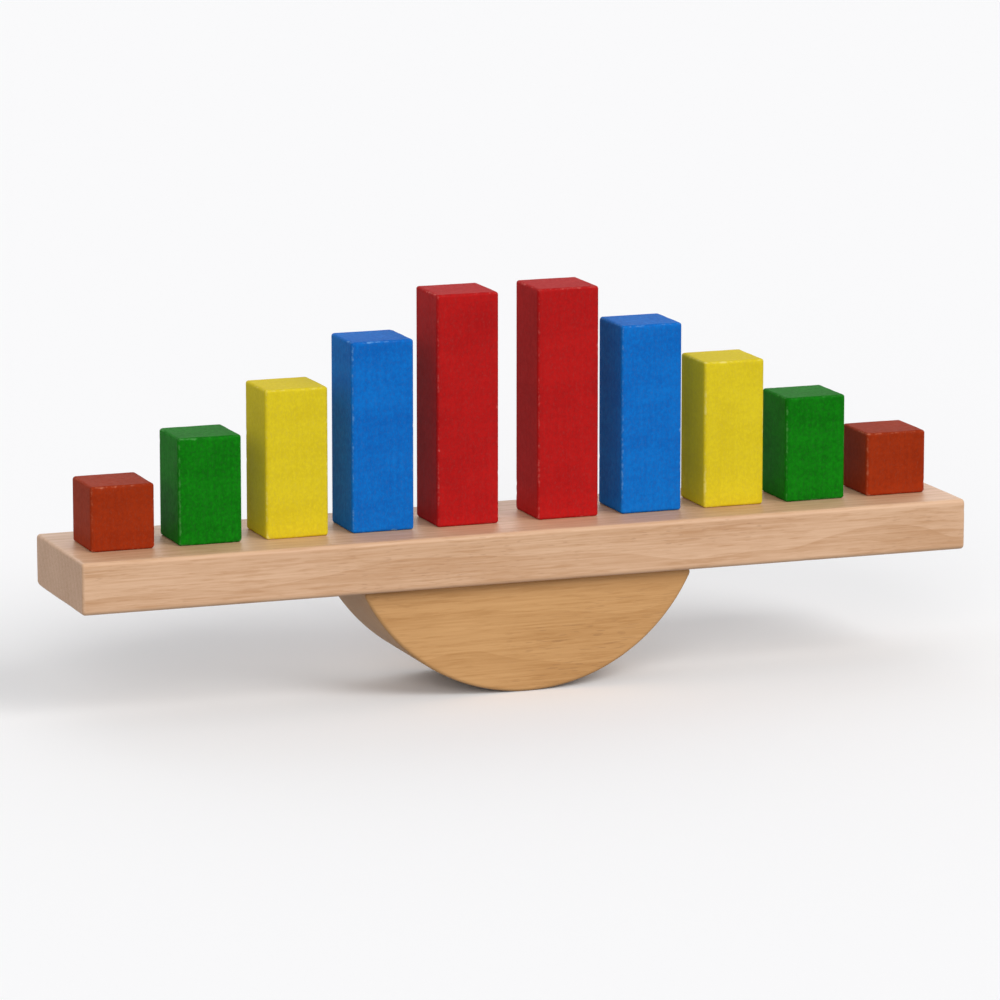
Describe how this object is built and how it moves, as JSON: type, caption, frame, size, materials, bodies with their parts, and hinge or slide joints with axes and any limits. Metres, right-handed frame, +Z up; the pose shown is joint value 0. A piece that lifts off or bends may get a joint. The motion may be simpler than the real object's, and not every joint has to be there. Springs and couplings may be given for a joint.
{
  "type": "wooden balance game",
  "caption": "Beech plank glued on a half-round rocker, with loose painted wooden blocks standing on it in mirrored rising rows; it rocks as blocks are lifted off or set back.",
  "frame": {"origin": "on the table, under the middle of the rocker, where the level toy touches it", "axes": "+X along the plank to the right as seen from the front, +Y to the back, +Z up"},
  "size_m": [0.36, 0.062, 0.154],
  "materials": {
    "plank_beech": "planed beech, clear satin lacquer",
    "rocker_beech": "sanded beech, a little deeper in colour, clear satin lacquer",
    "dowel_beech": "raw fluted beech pin",
    "red_paint": "satin red paint on wood",
    "blue_paint": "satin blue paint on wood",
    "yellow_paint": "satin yellow paint on wood",
    "green_paint": "satin green paint on wood",
    "vermilion_paint": "satin orange-red paint on wood"
  },
  "bodies": {
    "beam": {"plank": "plank_beech", "rocker": "rocker_beech", "dowel_left": "dowel_beech", "dowel_right": "dowel_beech"},
    "red_block_left": {"red_block_left": "red_paint"},
    "blue_block_left": {"blue_block_left": "blue_paint"},
    "yellow_block_left": {"yellow_block_left": "yellow_paint"},
    "green_block_left": {"green_block_left": "green_paint"},
    "vermilion_cube_left": {"vermilion_cube_left": "vermilion_paint"},
    "red_block_right": {"red_block_right": "red_paint"},
    "blue_block_right": {"blue_block_right": "blue_paint"},
    "yellow_block_right": {"yellow_block_right": "yellow_paint"},
    "green_block_right": {"green_block_right": "green_paint"},
    "vermilion_cube_right": {"vermilion_cube_right": "vermilion_paint"}
  },
  "joints": [
    {"name": "red_block_left_lift", "type": "slide", "parent": "beam", "child": "red_block_left", "axis": [0, 0, 1], "range_m": [0, 0.1]},
    {"name": "blue_block_left_lift", "type": "slide", "parent": "beam", "child": "blue_block_left", "axis": [0, 0, 1], "range_m": [0, 0.1]},
    {"name": "yellow_block_left_lift", "type": "slide", "parent": "beam", "child": "yellow_block_left", "axis": [0, 0, 1], "range_m": [0, 0.1]},
    {"name": "green_block_left_lift", "type": "slide", "parent": "beam", "child": "green_block_left", "axis": [0, 0, 1], "range_m": [0, 0.1]},
    {"name": "vermilion_cube_left_lift", "type": "slide", "parent": "beam", "child": "vermilion_cube_left", "axis": [0, 0, 1], "range_m": [0, 0.1]},
    {"name": "red_block_right_lift", "type": "slide", "parent": "beam", "child": "red_block_right", "axis": [0, 0, 1], "range_m": [0, 0.1]},
    {"name": "blue_block_right_lift", "type": "slide", "parent": "beam", "child": "blue_block_right", "axis": [0, 0, 1], "range_m": [0, 0.1]},
    {"name": "yellow_block_right_lift", "type": "slide", "parent": "beam", "child": "yellow_block_right", "axis": [0, 0, 1], "range_m": [0, 0.1]},
    {"name": "green_block_right_lift", "type": "slide", "parent": "beam", "child": "green_block_right", "axis": [0, 0, 1], "range_m": [0, 0.1]},
    {"name": "vermilion_cube_right_lift", "type": "slide", "parent": "beam", "child": "vermilion_cube_right", "axis": [0, 0, 1], "range_m": [0, 0.1]}
  ]
}
